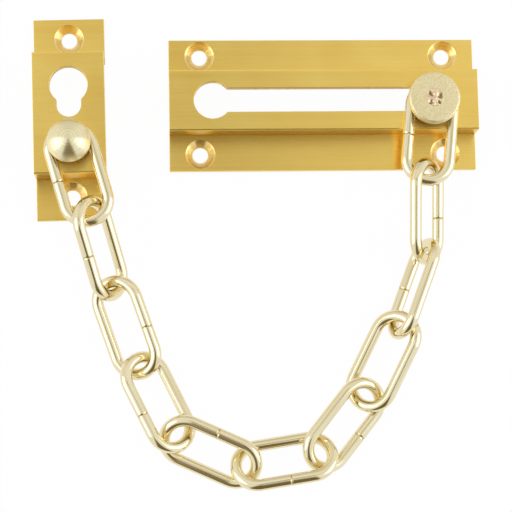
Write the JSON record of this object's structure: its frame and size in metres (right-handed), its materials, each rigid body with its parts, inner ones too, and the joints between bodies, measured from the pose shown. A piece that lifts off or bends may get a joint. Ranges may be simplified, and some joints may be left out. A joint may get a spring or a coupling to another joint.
{
  "type": "door chain",
  "caption": "Surface door chain: slotted brass slide plate with a keyhole entry, a slider stud, bright wire links and a keeper plate with a parking keyhole.",
  "frame": {"origin": "centre of the slide plate's four screw holes, on its back face", "axes": "+X along the slide plate from its round entry hole to the slot's closed end, +Y up the door, +Z out of the plates' faces"},
  "size_m": [0.1151, 0.1226, 0.0185],
  "materials": {
    "plate_brass": "satin brushed extruded brass",
    "chain_wire": "bright electro-brassed steel wire",
    "rivet_brass": "polished pale brass",
    "stud_brass": "matt tumbled pale brass"
  },
  "bodies": {
    "slide_plate": {"slide_plate": "plate_brass"},
    "slider": {"stud_pin": "stud_brass", "stud_disc": "stud_brass"},
    "link_01": {"link_01": "chain_wire"},
    "link_02": {"link_02": "chain_wire"},
    "link_03": {"link_03": "chain_wire"},
    "link_04": {"link_04": "chain_wire"},
    "link_05": {"link_05": "chain_wire"},
    "link_06": {"link_06": "chain_wire"},
    "link_07": {"link_07": "chain_wire"},
    "link_08": {"link_08": "chain_wire"},
    "link_09": {"link_09": "chain_wire"},
    "link_10": {"link_10": "chain_wire"},
    "link_11": {"link_11": "chain_wire"},
    "keeper": {"keeper_plate": "plate_brass", "keeper_rivet": "rivet_brass"}
  },
  "joints": [
    {"name": "stud_slide", "type": "slide", "parent": "slide_plate", "child": "slider", "axis": [1, 0, 0], "range_m": [-0.0565, 0]},
    {"name": "link_01_swing", "type": "hinge", "parent": "slider", "child": "link_01", "pos_m": [0.0277, -0.0009, 0], "axis": [0, 0, 1], "range_deg": [-45, 45]},
    {"name": "link_02_swing", "type": "hinge", "parent": "link_01", "child": "link_02", "pos_m": [0.0261, -0.01612, 0.00989], "axis": [0, 0, -1], "range_deg": [-60, 45]},
    {"name": "link_03_swing", "type": "hinge", "parent": "link_02", "child": "link_03", "pos_m": [0.02529, -0.0378, 0.00717], "axis": [0, 0, 1], "range_deg": [-15, 20]},
    {"name": "link_04_swing", "type": "hinge", "parent": "link_03", "child": "link_04", "pos_m": [0.01752, -0.0599, 0.0061], "axis": [0, 0, -1], "range_deg": [-60, 10]},
    {"name": "link_05_swing", "type": "hinge", "parent": "link_04", "child": "link_05", "pos_m": [0.00933, -0.0758, 0.004], "axis": [0, 0, 1], "range_deg": [-5, 60]},
    {"name": "link_06_swing", "type": "hinge", "parent": "link_05", "child": "link_06", "pos_m": [-0.00296, -0.09, 0.00403], "axis": [0, 0, -1], "range_deg": [-60, 5]},
    {"name": "link_07_swing", "type": "hinge", "parent": "link_06", "child": "link_07", "pos_m": [-0.02149, -0.09283, 0.00399], "axis": [0, 0, 1], "range_deg": [-5, 60]},
    {"name": "link_08_swing", "type": "hinge", "parent": "link_07", "child": "link_08", "pos_m": [-0.03866, -0.08492, 0.00399], "axis": [0, 0, -1], "range_deg": [-60, 5]},
    {"name": "link_09_swing", "type": "hinge", "parent": "link_08", "child": "link_09", "pos_m": [-0.04813, -0.06699, 0.00401], "axis": [0, 0, 1], "range_deg": [-8, 6]},
    {"name": "link_10_swing", "type": "hinge", "parent": "link_09", "child": "link_10", "pos_m": [-0.05448, -0.04883, 0.00631], "axis": [0, 0, -1], "range_deg": [-20, 10]},
    {"name": "link_11_swing", "type": "hinge", "parent": "link_10", "child": "link_11", "pos_m": [-0.06105, -0.02636, 0.01219], "axis": [0, 0, 1], "range_deg": [-15, 60]},
    {"name": "keeper_swing", "type": "hinge", "parent": "link_11", "child": "keeper", "pos_m": [-0.06527, -0.01165, 0.01219], "axis": [0, 0, -1], "range_deg": [-90, 25]}
  ]
}
